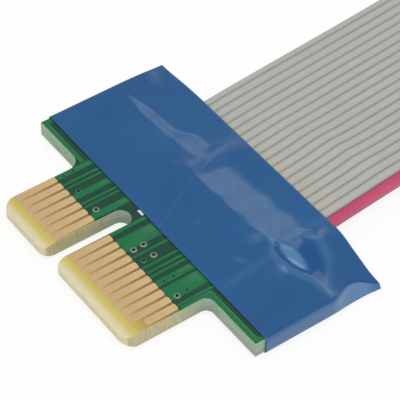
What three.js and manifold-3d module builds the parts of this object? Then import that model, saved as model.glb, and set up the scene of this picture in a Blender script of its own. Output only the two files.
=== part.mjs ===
// Ribbon riser cable for a single-lane expansion slot, in millimetres, +Z up.
// One end is a keyed edge plug, two stacked ribbon cables carry its two sides across,
// and the other end is a small board with an upright keyed slot. A band of adhesive tape
// is wound round each board where the ribbons are soldered on. The model stands on z = 0,
// with its origin under the middle of the two ends.
import * as THREE from 'three';
import { mergeVertices } from 'three/addons/utils/BufferGeometryUtils.js';
import Module from 'manifold-3d';

// Edge connector, the same on both faces of the plug board. Its datum is the key's centre
// line and the mating edge.
const PITCH = 1.0;
const LONG_BANK = 11;
const SHORT_BANK = 7;
const KEY_TO_CONTACT = 1.5;
const FINGER_WIDTH = 0.7;
const FINGER_FRONT = 1.3;
const SHORT_FINGER_FRONT = 2.4;
const FINGER_REAR = 5.6;
const FINGER_CORNER = 0.22;
const PLATING = 0.05;
const TOP_SHORT_FINGER = 10;
const UNDERSIDE_SHORT_FINGER = 16;

// Plug board
const BOARD_THICKNESS = 1.6;
const KEY_WIDTH = 1.9;
const TONGUE_LENGTH = 8.65;
const TONGUE_CORNER = 1.2;
const KEY_MOUTH_CORNER = 0.8;
const LONG_BANK_MARGIN = 0.65;
const SHORT_BANK_MARGIN = 0.4;
const NOSE_BEVEL = 1.2;
const NOSE_HEIGHT = 0.8;
const SHORT_SIDE = 14.65;
const LONG_SIDE = 19.0;
const SHORT_SIDE_FILLET = 1.3;
const LONG_SIDE_FILLET = 0.8;
const PLUG_BOARD_DEPTH = 17.5;

// Ribbon cables: their wires, the way they leave the plug and their length between boards
const WIRES = 20;
const WIRE_PITCH = 1.0;
const RIBBON_THICKNESS = 0.9;
const RIBBON_GAP = 0.1;
const RIBBON_SKEW = THREE.MathUtils.degToRad(5.2);
const END_GAP = 0.3;

// Soldered wire tips, in a row on each face of both boards
const SOLDER_WIDTH = 0.6;
const SOLDER_HEIGHT = 0.4;
const SOLDER_SHOULDER_HEIGHT = 0.16;
const SOLDER_CREST_WIDTH = 0.3;
const SOLDER_LENGTH = 2.8;
const SOLDER_SETBACK = 0.3;

// Tape bands
const TAPE_WIDTH = 12.7;
const TAPE_OVER_RIBBON = 5.2;
const TAPE_WALL = 0.12;
const TAPE_CLEARANCE = 0.08;
const TAPE_CORNER = 0.18;
const TAPE_RAMP = 1.3;
const TAPE_SIDE_SLACK = 0.7;
const TAPE_SIDE_RAMP = 2.2;
const TAPE_SIDE_DROP = 0.45;
const TAPE_SIDE_INSET = 0.6;

// Slot housing, above the socket board
const SLOT_HEIGHT = 11.25;
const SLOT_WIDTH = 7.6;
const SLOT_STEP = 0.4;
const SLOT_STEP_HEIGHT = 7.2;
const SLOT_STEP_SLOPE = 0.6;
const SLOT_TOP_CHAMFER = 0.35;
const SLOT_END_WALL = 2.2;
const SLOT_END_CORNER = 0.7;
const SLOT_FLOOR = 2.6;
const SLOT_SIDE_WALL = 0.65;
const SLOT_CORE_WIDTH = 1.2;
const CARD_GAP = 1.76;
const CARD_SIDE_CLEARANCE = 0.2;
const KEY_CLEARANCE = 0.1;
const MOUTH_WIDTH = 3.1;
const MOUTH_DEPTH = 0.75;
const KEY_DROP = 0.5;
const FOOT_HEIGHT = 0.3;
const FOOT_LENGTH = 2.4;
const FOOT_WIDTH = 0.5;
const SEAT_GAP = 0.05;
const PEG_RADIUS = 0.95;
const PEG_END_RADIUS = 0.8;
const PEG_LENGTH = 1.3;
const PEG_CLEARANCE = 0.15;
const PEG_INSET = 1.6;
const END_GROOVE_WIDTH = 3.0;
const END_GROOVE_DEPTH = 0.4;

// Spring contacts of the slot, stamped from strip and set in two rows of chambers
const CONTACT_WIDTH = 0.54;
const CONTACT_STRIP = 0.2;
const CHAMBER_WIDTH = 0.7;
const LIP_HEIGHT = 1.3;
const TAIL_INNER_ROW = 1.3;
const TAIL_OUTER_SETBACK = 0.4;
const TAIL_PROJECTION = 0.5;
const TAIL_HOLE_RADIUS = 0.4;
const LEG_SETBACK = 0.55;
const LEG_START = 1.1;
const LEG_END = 2.6;
const ARM_LEAN = 0.25;
const BUMP_REACH = 0.18;
const BUMP_DEPTH = 3.25;
const BUMP_RUN_IN = 1.0;
const BUMP_SLOPE = 0.35;
const TIP_RETREAT = 0.27;
const TIP_DEPTH = 1.75;

// Socket board
const SLOT_TO_TAPE = 1.0;
const SOCKET_BOARD_MARGIN = 1.5;
const SOCKET_BOARD_CORNER = 0.6;

// Cutters run past the faces that they open by this much
const OVERRUN = 1;

// Sizes that follow from the ones above
const RIBBON_HALF = (WIRES * WIRE_PITCH) / 2;
const TAPE_OVER_BOARD = TAPE_WIDTH - TAPE_OVER_RIBBON;
const GROUND = -(SOLDER_HEIGHT + TAPE_CLEARANCE + TAPE_WALL);
const PLUG_CENTRE = (LONG_SIDE - SHORT_SIDE) / 2;
const BOARD_WIDTH = LONG_SIDE + SHORT_SIDE;
const LONG_BANK_END = contactPosition(LONG_BANK - 1) + LONG_BANK_MARGIN;
const SHORT_BANK_END = -contactPosition(LONG_BANK + SHORT_BANK - 1) + SHORT_BANK_MARGIN;
const SLOT_LOW_END = -(SHORT_BANK_END + CARD_SIDE_CLEARANCE);
const SLOT_HIGH_END = LONG_BANK_END + CARD_SIDE_CLEARANCE;
const SLOT_MIDDLE = (SLOT_LOW_END + SLOT_HIGH_END) / 2;
const CHAMBER_INNER = SLOT_CORE_WIDTH / 2;
const CHAMBER_OUTER = SLOT_WIDTH / 2 - SLOT_SIDE_WALL;
const TAIL_OUTER_ROW = CHAMBER_OUTER - TAIL_OUTER_SETBACK;
const TAPE_RAISED_HALF = RIBBON_HALF + TAPE_CLEARANCE + TAPE_SIDE_SLACK;
const TIPS_START = -(SOLDER_LENGTH + SOLDER_SETBACK + TAPE_CLEARANCE);
const SLOT_LINE = TAPE_OVER_BOARD + SLOT_TO_TAPE + SLOT_WIDTH / 2;
const SOCKET_BOARD_DEPTH = SLOT_LINE + SLOT_WIDTH / 2 + SOCKET_BOARD_MARGIN;
const BODY_BASE = SEAT_GAP + FOOT_HEIGHT;
const PLUG_END_GAP = END_GAP + RIBBON_HALF * Math.tan(RIBBON_SKEW);

// Height of the middle of each ribbon above the boards' undersides, at distances along it.
// The ribbons leave the two faces of a board, close up on each other under the tape and
// come down to lie on the surface that the cable rests on.
const RIBBON_ROUTE = [
  { along: 0, lower: 0.1, upper: 1.5 },
  { along: 2, lower: 0.2, upper: 1.4 },
  { along: 4, lower: 0.3, upper: 1.3 },
  { along: 7, lower: 0.29, upper: 1.29 },
  { along: 12, lower: 0.21, upper: 1.21 },
  { along: 17, lower: 0.09, upper: 1.09 },
  { along: 23, lower: -0.04, upper: 0.96 },
  { along: 30, lower: -0.11, upper: 0.89 },
  { along: 45, lower: -0.12, upper: 0.88 },
  { along: 65, lower: -0.12, upper: 0.88 },
  { along: 80, lower: -0.12, upper: 0.88 },
  { along: 95, lower: -0.12, upper: 0.88 },
  { along: 115, lower: -0.12, upper: 0.88 },
  { along: 130, lower: -0.11, upper: 0.89 },
  { along: 137, lower: -0.04, upper: 0.96 },
  { along: 143, lower: 0.09, upper: 1.09 },
  { along: 148, lower: 0.21, upper: 1.21 },
  { along: 152, lower: 0.28, upper: 1.28 },
  { along: 155, lower: 0.3, upper: 1.3 },
  { along: 157.5, lower: 0.2, upper: 1.4 },
  { along: 160, lower: 0.1, upper: 1.5 },
];

const wasm = await Module();
wasm.setup();

// Across position of contact number i: the long bank first, then the short one past the key.
function contactPosition(i) {
  if (i < LONG_BANK) return KEY_TO_CONTACT + i * PITCH;
  return -(KEY_TO_CONTACT + (i - LONG_BANK) * PITCH);
}

function material(color, roughness, metalness) {
  return new THREE.MeshStandardMaterial({ color, roughness, metalness });
}

function named(name, geometry, finish) {
  const mesh = new THREE.Mesh(geometry, finish);
  mesh.name = name;
  return mesh;
}

// Geometry to solid and back, so that pieces can be joined and cut.
function solidOf(geometry) {
  const bare = geometry.clone();
  bare.deleteAttribute('normal');
  bare.deleteAttribute('uv');
  const merged = mergeVertices(bare, 1e-5);
  return new wasm.Manifold(new wasm.Mesh({
    numProp: 3,
    vertProperties: new Float32Array(merged.attributes.position.array),
    triVerts: new Uint32Array(merged.index.array),
  }));
}

function geometryOf(solid) {
  const mesh = solid.getMesh();
  const geometry = new THREE.BufferGeometry();
  geometry.setAttribute('position', new THREE.BufferAttribute(mesh.vertProperties, 3));
  geometry.setIndex(new THREE.BufferAttribute(mesh.triVerts, 1));
  geometry.computeVertexNormals();
  return geometry;
}

// Extrusions of a plan outline upwards, and of a side profile (y, z) across.
function upright(shape, low, high, curveSegments = 5) {
  const geometry = new THREE.ExtrudeGeometry(shape, {
    depth: high - low, bevelEnabled: false, curveSegments,
  });
  return geometry.translate(0, 0, low);
}

function across(shape, low, high, curveSegments = 5) {
  const geometry = new THREE.ExtrudeGeometry(shape, {
    depth: high - low, bevelEnabled: false, curveSegments,
  });
  const turn = new THREE.Matrix4().makeBasis(
    new THREE.Vector3(0, 1, 0), new THREE.Vector3(0, 0, 1), new THREE.Vector3(1, 0, 0));
  return geometry.applyMatrix4(turn).translate(low, 0, 0);
}

function block(lowX, highX, lowY, highY, lowZ, highZ) {
  const geometry = new THREE.BoxGeometry(highX - lowX, highY - lowY, highZ - lowZ);
  return geometry.translate((lowX + highX) / 2, (lowY + highY) / 2, (lowZ + highZ) / 2);
}

function inOrder(a, b) {
  return a < b ? [a, b] : [b, a];
}

// An outline through corner points, each rounded by its own radius.
function roundedShape(corners) {
  const shape = new THREE.Shape();
  corners.forEach(([x, y, radius], i) => {
    const here = new THREE.Vector2(x, y);
    const before = new THREE.Vector2(...corners.at(i - 1)).sub(here).normalize();
    const after = new THREE.Vector2(...corners[(i + 1) % corners.length]).sub(here).normalize();
    const halfAngle = Math.acos(THREE.MathUtils.clamp(before.dot(after), -1, 1)) / 2;
    const reach = radius / Math.tan(halfAngle);
    const start = before.clone().multiplyScalar(reach).add(here);
    if (i === 0) shape.moveTo(start.x, start.y);
    else shape.lineTo(start.x, start.y);
    if (radius === 0) return;
    const bisector = before.clone().add(after).normalize();
    const centre = bisector.multiplyScalar(radius / Math.sin(halfAngle)).add(here);
    const end = after.clone().multiplyScalar(reach).add(here);
    const from = start.clone().sub(centre).angle();
    const to = end.clone().sub(centre).angle();
    const turnsLeft = before.cross(after) < 0;
    shape.absarc(centre.x, centre.y, radius, from, to, !turnsLeft);
  });
  return shape;
}

// The plug board's plan: a tongue split by the key notch, on wider shoulders.
function plugBoardPlan() {
  const half = KEY_WIDTH / 2;
  return roundedShape([
    [-SHORT_BANK_END, 0, TONGUE_CORNER],
    [-half, 0, KEY_MOUTH_CORNER],
    [-half, TONGUE_LENGTH, half * 0.999],
    [half, TONGUE_LENGTH, half * 0.999],
    [half, 0, KEY_MOUTH_CORNER],
    [LONG_BANK_END, 0, TONGUE_CORNER],
    [LONG_BANK_END, TONGUE_LENGTH, LONG_SIDE_FILLET],
    [LONG_SIDE, TONGUE_LENGTH, 0],
    [LONG_SIDE, PLUG_BOARD_DEPTH, 0],
    [-SHORT_SIDE, PLUG_BOARD_DEPTH, 0],
    [-SHORT_SIDE, TONGUE_LENGTH, 0],
    [-SHORT_BANK_END, TONGUE_LENGTH, SHORT_SIDE_FILLET],
  ]);
}

// The board's side profile, bevelled on both faces towards the mating edge.
function bevelledProfile() {
  const middle = BOARD_THICKNESS / 2;
  return new THREE.Shape([
    new THREE.Vector2(0, middle - NOSE_HEIGHT / 2),
    new THREE.Vector2(NOSE_BEVEL, 0),
    new THREE.Vector2(PLUG_BOARD_DEPTH, 0),
    new THREE.Vector2(PLUG_BOARD_DEPTH, BOARD_THICKNESS),
    new THREE.Vector2(NOSE_BEVEL, BOARD_THICKNESS),
    new THREE.Vector2(0, middle + NOSE_HEIGHT / 2),
  ]);
}

// A plated finger that stands PLATING proud of one face of the board.
function finger(x, front, onTop) {
  const half = FINGER_WIDTH / 2;
  const outline = roundedShape([
    [x - half, front, FINGER_CORNER],
    [x + half, front, FINGER_CORNER],
    [x + half, FINGER_REAR, 0],
    [x - half, FINGER_REAR, 0],
  ]);
  const face = onTop ? BOARD_THICKNESS : 0;
  return upright(outline, face - PLATING, face + PLATING, 2);
}

// The rounded ridge of one soldered wire tip, lying along Y on a face of a board. The
// board's ribbon edge is at y = 0, and the board lies towards -Y.
function solderedTip(x, onTop) {
  const half = SOLDER_WIDTH / 2;
  const crest = SOLDER_CREST_WIDTH / 2;
  const base = onTop ? BOARD_THICKNESS : 0;
  const rise = onTop ? 1 : -1;
  const shape = new THREE.Shape([
    new THREE.Vector2(x - half, base - rise * PLATING),
    new THREE.Vector2(x + half, base - rise * PLATING),
    new THREE.Vector2(x + half, base + rise * SOLDER_SHOULDER_HEIGHT),
    new THREE.Vector2(x + crest, base + rise * SOLDER_HEIGHT),
    new THREE.Vector2(x - crest, base + rise * SOLDER_HEIGHT),
    new THREE.Vector2(x - half, base + rise * SOLDER_SHOULDER_HEIGHT),
  ]);
  const geometry = new THREE.ExtrudeGeometry(shape, { depth: SOLDER_LENGTH, bevelEnabled: false });
  return geometry.rotateX(Math.PI / 2).translate(0, -SOLDER_SETBACK, 0);
}

function addSolderedTips(board, centre, edge, turned) {
  let solid = board;
  for (let i = 0; i < WIRES; i += 1) {
    const x = (i - (WIRES - 1) / 2) * WIRE_PITCH;
    for (const onTop of [true, false]) {
      const tip = solderedTip(x, onTop);
      if (turned) tip.rotateZ(Math.PI);
      solid = solid.add(solidOf(tip.translate(centre, edge, 0)));
    }
  }
  return solid;
}

function plugBoard(finish) {
  const plan = upright(plugBoardPlan(), -OVERRUN, BOARD_THICKNESS + OVERRUN);
  const slab = across(bevelledProfile(), -SHORT_SIDE - OVERRUN, LONG_SIDE + OVERRUN);
  let board = solidOf(plan).intersect(solidOf(slab));
  for (let i = 0; i < LONG_BANK + SHORT_BANK; i += 1) {
    const topFront = i === TOP_SHORT_FINGER ? SHORT_FINGER_FRONT : FINGER_FRONT;
    const lowFront = i === UNDERSIDE_SHORT_FINGER ? SHORT_FINGER_FRONT : FINGER_FRONT;
    board = board.add(solidOf(finger(contactPosition(i), topFront, true)));
    board = board.add(solidOf(finger(contactPosition(i), lowFront, false)));
  }
  board = addSolderedTips(board, PLUG_CENTRE, PLUG_BOARD_DEPTH, false);
  return named('plug_board', geometryOf(board), finish);
}

// How far the tape stands off its flat height. Over the board it rises over the soldered
// tips, behind the board it comes down on the ribbons, and outside them its upper layer
// drops and its folded sides lean in.
function tapeLift(x, y, isUpper) {
  const raised = TAPE_RAISED_HALF;
  const beside = THREE.MathUtils.smoothstep(Math.abs(x), raised, raised + TAPE_SIDE_RAMP);
  const stackOverhang = (2 * RIBBON_THICKNESS + RIBBON_GAP - BOARD_THICKNESS) / 2;
  const behind = THREE.MathUtils.clamp(y / TAPE_OVER_RIBBON, 0, 1);
  const onBoard = SOLDER_HEIGHT * THREE.MathUtils.smoothstep(y, TIPS_START - TAPE_RAMP, TIPS_START);
  const overRibbon = THREE.MathUtils.lerp(onBoard, stackOverhang, behind);
  const drop = isUpper ? -TAPE_SIDE_DROP * behind * behind : 0;
  return THREE.MathUtils.lerp(overRibbon, drop, beside);
}

// The section of a band of tape, as a closed outline in x and z with a point at each column.
function tapeOutline(halfWidth, low, high, columns) {
  const point = (x, z) => new THREE.Vector2(x, z);
  const inner = halfWidth - TAPE_CORNER;
  return [
    point(-inner, low),
    ...columns.map((x) => point(x, low)),
    point(inner, low),
    point(halfWidth, low + TAPE_CORNER),
    point(halfWidth, high - TAPE_CORNER),
    point(inner, high),
    ...columns.toReversed().map((x) => point(x, high)),
    point(-inner, high),
    point(-halfWidth, high - TAPE_CORNER),
    point(-halfWidth, low + TAPE_CORNER),
  ];
}

// A band of tape round a board's edge. The edge is at y = 0, with the board towards -Y and
// the ribbons towards +Y. It is extruded one unit a step, and each step then goes to its
// station along Y and takes the tape's form there.
function tapeBand(name, finish) {
  const rightRamp = [0, 1, 2, 3].map((step) => TAPE_RAISED_HALF + (step / 3) * TAPE_SIDE_RAMP);
  const leftRamp = rightRamp.toReversed().map((x) => -x);
  const columns = [...leftRamp, -RIBBON_HALF / 2, 0, RIBBON_HALF / 2, ...rightRamp];
  const frontRamp = [3, 2, 1, 0].map((step) => TIPS_START - (step / 3) * TAPE_RAMP);
  const rearRun = [0, 1, 2, 3].map((step) => (step / 3) * TAPE_OVER_RIBBON);
  const stations = [-TAPE_OVER_BOARD, ...frontRamp, ...rearRun];
  const steps = stations.length - 1;
  const halfBoard = BOARD_WIDTH / 2 + TAPE_CLEARANCE;
  const outer = tapeOutline(halfBoard + TAPE_WALL, -TAPE_CLEARANCE - TAPE_WALL,
    BOARD_THICKNESS + TAPE_CLEARANCE + TAPE_WALL, columns);
  const inner = tapeOutline(halfBoard, -TAPE_CLEARANCE, BOARD_THICKNESS + TAPE_CLEARANCE, columns);
  const shape = new THREE.Shape(outer);
  shape.holes.push(new THREE.Path(inner));
  const geometry = new THREE.ExtrudeGeometry(shape, { depth: steps, steps, bevelEnabled: false });
  geometry.rotateX(Math.PI / 2);
  const position = geometry.attributes.position;
  for (let i = 0; i < position.count; i += 1) {
    const x = position.getX(i);
    const z = position.getZ(i);
    const y = stations[steps + Math.round(position.getY(i))];
    const isUpper = z > BOARD_THICKNESS / 2;
    const lift = tapeLift(x, y, isUpper);
    const behind = THREE.MathUtils.clamp(y / TAPE_OVER_RIBBON, 0, 1);
    const isSide = Math.abs(x) > halfBoard - 2 * TAPE_CORNER;
    const inset = isUpper && isSide ? TAPE_SIDE_INSET * behind * behind : 0;
    position.setXYZ(i, x - Math.sign(x) * inset, y, isUpper ? z + lift : z - lift);
  }
  geometry.computeVertexNormals();
  return named(name, geometry, finish);
}

// A point on the ribbons' middle line, at a distance from their start behind the plug board.
// They leave the middle of that board's edge at a slight skew.
function ribbonPoint(along, height) {
  const fromEdge = PLUG_END_GAP + along;
  return new THREE.Vector3(
    PLUG_CENTRE - Math.sin(RIBBON_SKEW) * fromEdge,
    PLUG_BOARD_DEPTH + Math.cos(RIBBON_SKEW) * fromEdge,
    height);
}

// A ribbon cable: a flat section with rounded edges, carried along its route.
function ribbon(name, level, finish) {
  const points = RIBBON_ROUTE.map((stop) => ribbonPoint(stop.along, stop[level]));
  const path = new THREE.CatmullRomCurve3(points, false, 'centripetal');
  const thick = RIBBON_THICKNESS / 2;
  const round = RIBBON_THICKNESS / 4;
  // The sweep turns the section's x to the vertical and its y across.
  const section = new THREE.Shape([
    new THREE.Vector2(-thick, -RIBBON_HALF + round),
    new THREE.Vector2(-round, -RIBBON_HALF),
    new THREE.Vector2(round, -RIBBON_HALF),
    new THREE.Vector2(thick, -RIBBON_HALF + round),
    new THREE.Vector2(thick, RIBBON_HALF - round),
    new THREE.Vector2(round, RIBBON_HALF),
    new THREE.Vector2(-round, RIBBON_HALF),
    new THREE.Vector2(-thick, RIBBON_HALF - round),
  ]);
  const geometry = new THREE.ExtrudeGeometry(section, {
    steps: 40, extrudePath: path, bevelEnabled: false,
  });
  return named(name, geometry, finish);
}

// The socket board: its ribbon edge at y = 0, the slot's line at SLOT_LINE. Holes take the
// contacts' tails and the housing's two pegs.
function socketBoard(finish) {
  const half = BOARD_WIDTH / 2;
  const plan = roundedShape([
    [-half, 0, 0],
    [half, 0, 0],
    [half, SOCKET_BOARD_DEPTH, SOCKET_BOARD_CORNER],
    [-half, SOCKET_BOARD_DEPTH, SOCKET_BOARD_CORNER],
  ]);
  let board = solidOf(upright(plan, 0, BOARD_THICKNESS, 3));
  const hole = (x, y, radius, sides) => {
    const depth = BOARD_THICKNESS + 2 * OVERRUN;
    const drill = new THREE.CylinderGeometry(radius, radius, depth, sides);
    drill.rotateX(Math.PI / 2).translate(x, y, BOARD_THICKNESS / 2);
    return solidOf(drill);
  };
  for (const { x, side, tail } of contactPlaces()) {
    board = board.subtract(hole(x - SLOT_MIDDLE, SLOT_LINE + side * tail, TAIL_HOLE_RADIUS, 8));
  }
  for (const x of pegPlaces()) {
    board = board.subtract(hole(x - SLOT_MIDDLE, SLOT_LINE, PEG_RADIUS + PEG_CLEARANCE, 16));
  }
  board = addSolderedTips(board, 0, 0, true);
  return named('socket_board', geometryOf(board), finish);
}

// Where each spring contact stands: its place along the slot, its side and its tail row.
function contactPlaces() {
  const places = [];
  for (const side of [-1, 1]) {
    for (let i = 0; i < LONG_BANK + SHORT_BANK; i += 1) {
      const innerRow = (i % 2 === 0) === (side > 0);
      places.push({ x: contactPosition(i), side, tail: innerRow ? TAIL_INNER_ROW : TAIL_OUTER_ROW });
    }
  }
  return places;
}

function pegPlaces() {
  return [SLOT_LOW_END - SLOT_END_WALL + PEG_INSET, SLOT_HIGH_END + SLOT_END_WALL - PEG_INSET];
}

// Side profile of the housing: a stepped body with chamfered top edges.
function housingProfile() {
  const base = SLOT_WIDTH / 2;
  const upper = base - SLOT_STEP;
  const half = [
    [base, BODY_BASE],
    [base, SLOT_STEP_HEIGHT],
    [upper, SLOT_STEP_HEIGHT + SLOT_STEP_SLOPE],
    [upper, SLOT_HEIGHT - SLOT_TOP_CHAMFER],
    [upper - SLOT_TOP_CHAMFER, SLOT_HEIGHT],
  ];
  const mirrored = half.map(([y, z]) => [-y, z]).reverse();
  return new THREE.Shape([...half, ...mirrored].map(([y, z]) => new THREE.Vector2(y, z)));
}

// The flared mouth of the slot, as a side profile for the cutter.
function mouthProfile() {
  const gap = CARD_GAP / 2;
  const mouth = MOUTH_WIDTH / 2;
  const flare = (mouth - gap) / MOUTH_DEPTH;
  return new THREE.Shape([
    new THREE.Vector2(-gap, SLOT_HEIGHT - MOUTH_DEPTH),
    new THREE.Vector2(gap, SLOT_HEIGHT - MOUTH_DEPTH),
    new THREE.Vector2(mouth + flare * OVERRUN, SLOT_HEIGHT + OVERRUN),
    new THREE.Vector2(-mouth - flare * OVERRUN, SLOT_HEIGHT + OVERRUN),
  ]);
}

// The moulded housing, in the slot's own frame: x = 0 at the key, y = 0 on the card's middle
// plane, z = 0 on the board's face.
function slotHousing(finish) {
  const low = SLOT_LOW_END - SLOT_END_WALL;
  const high = SLOT_HIGH_END + SLOT_END_WALL;
  const half = SLOT_WIDTH / 2;
  const plan = roundedShape([
    [low, -half, SLOT_END_CORNER],
    [high, -half, SLOT_END_CORNER],
    [high, half, SLOT_END_CORNER],
    [low, half, SLOT_END_CORNER],
  ]);
  const body = solidOf(upright(plan, BODY_BASE, SLOT_HEIGHT, 3));
  let housing = body.intersect(solidOf(across(housingProfile(), low - OVERRUN, high + OVERRUN)));

  const keyHalf = (KEY_WIDTH / 2) - KEY_CLEARANCE;
  for (const [from, to] of [[SLOT_LOW_END, -keyHalf], [keyHalf, SLOT_HIGH_END]]) {
    const slot = block(from, to, -CARD_GAP / 2, CARD_GAP / 2, SLOT_FLOOR, SLOT_HEIGHT + OVERRUN);
    housing = housing.subtract(solidOf(slot));
    housing = housing.subtract(solidOf(across(mouthProfile(), from, to)));
  }
  const keyTop = block(-KEY_WIDTH / 2, KEY_WIDTH / 2, -CARD_GAP / 2, CARD_GAP / 2,
    SLOT_HEIGHT - KEY_DROP, SLOT_HEIGHT + OVERRUN);
  housing = housing.subtract(solidOf(keyTop));

  for (let i = 0; i < LONG_BANK + SHORT_BANK; i += 1) {
    const x = contactPosition(i);
    for (const side of [-1, 1]) {
      const rows = inOrder(side * CHAMBER_INNER, side * CHAMBER_OUTER);
      const chamber = block(x - CHAMBER_WIDTH / 2, x + CHAMBER_WIDTH / 2, ...rows,
        0, SLOT_HEIGHT - LIP_HEIGHT);
      housing = housing.subtract(solidOf(chamber));
    }
  }

  for (const [edge, inward] of [[low, 1], [high, -1]]) {
    const grooveEnds = inOrder(edge - inward * OVERRUN, edge + inward * END_GROOVE_DEPTH);
    const groove = block(...grooveEnds, -END_GROOVE_WIDTH / 2, END_GROOVE_WIDTH / 2,
      SLOT_FLOOR, SLOT_HEIGHT + OVERRUN);
    housing = housing.subtract(solidOf(groove));
    const footStart = edge + inward * SLOT_END_CORNER;
    const footEnds = inOrder(footStart, footStart + inward * FOOT_LENGTH);
    for (const side of [-1, 1]) {
      const rows = inOrder(side * half, side * (half - FOOT_WIDTH));
      const foot = block(...footEnds, ...rows, SEAT_GAP, BODY_BASE + FOOT_WIDTH);
      housing = housing.add(solidOf(foot));
    }
  }
  for (const x of pegPlaces()) {
    const root = BODY_BASE + OVERRUN;
    const peg = new THREE.CylinderGeometry(PEG_RADIUS, PEG_END_RADIUS, PEG_LENGTH + root, 16);
    peg.rotateX(Math.PI / 2).translate(x, 0, (root - PEG_LENGTH) / 2);
    housing = housing.add(solidOf(peg));
  }
  return named('slot_housing', geometryOf(housing), finish);
}

// The bent strip of one spring contact: tail, leg, sprung arm, contact bump and lead-in tip.
// Its outline lies in y and z, with +y away from the card.
function contactOutline(tail) {
  const leg = CHAMBER_OUTER - LEG_SETBACK;
  const legEnd = BODY_BASE + LEG_END;
  const bump = CARD_GAP / 2 - BUMP_REACH;
  const bumpHeight = SLOT_HEIGHT - BUMP_DEPTH;
  const knots = [
    [tail, -(BOARD_THICKNESS + TAIL_PROJECTION)],
    [tail, -BOARD_THICKNESS / 2],
    [tail, BODY_BASE],
    [leg, BODY_BASE + LEG_START],
    [leg, legEnd],
    [leg - ARM_LEAN, (legEnd + bumpHeight) / 2],
    [bump + BUMP_SLOPE, bumpHeight - BUMP_RUN_IN],
    [bump, bumpHeight],
    [CARD_GAP / 2 + TIP_RETREAT, SLOT_HEIGHT - TIP_DEPTH],
  ];
  const line = new THREE.CatmullRomCurve3(
    knots.map(([y, z]) => new THREE.Vector3(y, z, 0)), false, 'centripetal');
  const samples = 14;
  const faces = [-1, 1].map((face) => {
    const points = [];
    for (let i = 0; i <= samples; i += 1) {
      const at = line.getPoint(i / samples);
      const along = line.getTangent(i / samples);
      const offset = (face * CONTACT_STRIP) / 2;
      points.push(new THREE.Vector2(at.x - along.y * offset, at.y + along.x * offset));
    }
    return points;
  });
  return new THREE.Shape([...faces[0], ...faces[1].reverse()]);
}

function springContact(name, place, finish) {
  const half = CONTACT_WIDTH / 2;
  const geometry = across(contactOutline(place.tail), -half, half);
  if (place.side < 0) geometry.rotateZ(Math.PI);
  const mesh = named(name, geometry, finish);
  mesh.position.set(place.x, 0, 0);
  return mesh;
}

function plugEnd(finishes) {
  const group = new THREE.Group();
  group.add(plugBoard(finishes.board));
  const tape = tapeBand('plug_tape', finishes.tape);
  tape.position.set(PLUG_CENTRE, PLUG_BOARD_DEPTH, 0);
  group.add(tape);
  return group;
}

// The socket end in its own frame, turned with the ribbons.
function socketEnd(finishes) {
  const group = new THREE.Group();
  group.add(socketBoard(finishes.board));
  const tape = tapeBand('socket_tape', finishes.tape);
  tape.rotation.z = Math.PI;
  group.add(tape);

  const slot = new THREE.Group();
  slot.position.set(-SLOT_MIDDLE, SLOT_LINE, BOARD_THICKNESS);
  slot.add(slotHousing(finishes.housing));
  const counts = new Map([[-1, 0], [1, 0]]);
  for (const place of contactPlaces()) {
    counts.set(place.side, counts.get(place.side) + 1);
    const row = place.side < 0 ? 'near' : 'far';
    const number = String(counts.get(place.side)).padStart(2, '0');
    slot.add(springContact(`contact_${row}_${number}`, place, finishes.contact));
  }
  group.add(slot);
  group.position.copy(ribbonPoint(RIBBON_ROUTE.at(-1).along + END_GAP, 0));
  group.rotation.z = RIBBON_SKEW;
  return group;
}

// Places the group so that its rigid pieces stand on z = 0, centred over the origin.
function standOnOrigin(group, rigidParts) {
  group.updateMatrixWorld(true);
  const box = new THREE.Box3();
  for (const piece of rigidParts) box.expandByObject(piece, true);
  const centre = box.getCenter(new THREE.Vector3());
  group.position.set(-centre.x, -centre.y, -GROUND);
}

const finishes = {
  board: material('#2a774a', 0.4, 0),
  tape: material('#3a6293', 0.3, 0),
  ribbon: material('#b0b3aa', 0.55, 0),
  housing: material('#1d1d1f', 0.55, 0),
  contact: material('#cdb184', 0.35, 1),
};
const riser = new THREE.Group();
const plug = plugEnd(finishes);
const socket = socketEnd(finishes);
riser.add(plug, socket);
riser.add(ribbon('ribbon_lower', 'lower', finishes.ribbon));
riser.add(ribbon('ribbon_upper', 'upper', finishes.ribbon));
standOnOrigin(riser, [plug, socket]);
const model = new THREE.Group();
model.add(riser);

export default model;
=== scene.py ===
"""Looks of a ribbon riser cable: keyed edge plug, taped solder joints, two flat cables, slot.

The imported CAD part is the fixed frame. Sizes are in millimetres until a mesh is placed, and
the plug end's own frame has x = 0 at the key, y = 0 at the mating edge and z = 0 at the
board's underside. Each end's tape has y = 0 at the board's ribbon edge.
"""

import math

import bmesh
import bpy
from mathutils import Matrix, Vector, noise


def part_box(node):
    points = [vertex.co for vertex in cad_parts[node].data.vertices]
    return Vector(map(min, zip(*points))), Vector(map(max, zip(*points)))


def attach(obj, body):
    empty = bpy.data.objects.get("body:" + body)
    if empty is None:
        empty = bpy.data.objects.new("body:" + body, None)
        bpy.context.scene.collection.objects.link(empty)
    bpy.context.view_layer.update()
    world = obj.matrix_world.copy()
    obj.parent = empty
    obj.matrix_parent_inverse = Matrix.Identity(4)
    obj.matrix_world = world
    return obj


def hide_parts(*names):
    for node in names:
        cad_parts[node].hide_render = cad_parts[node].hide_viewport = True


bl_info = {
    "name": "Riser cable looks",
    "version": (1, 0, 0),
    "blender": (4, 5, 0),
    "location": "3D View > Sidebar > Riser",
    "description": "Builds the visible pieces of a flat-cable riser round its CAD frame",
    "category": "Object",
}

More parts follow.
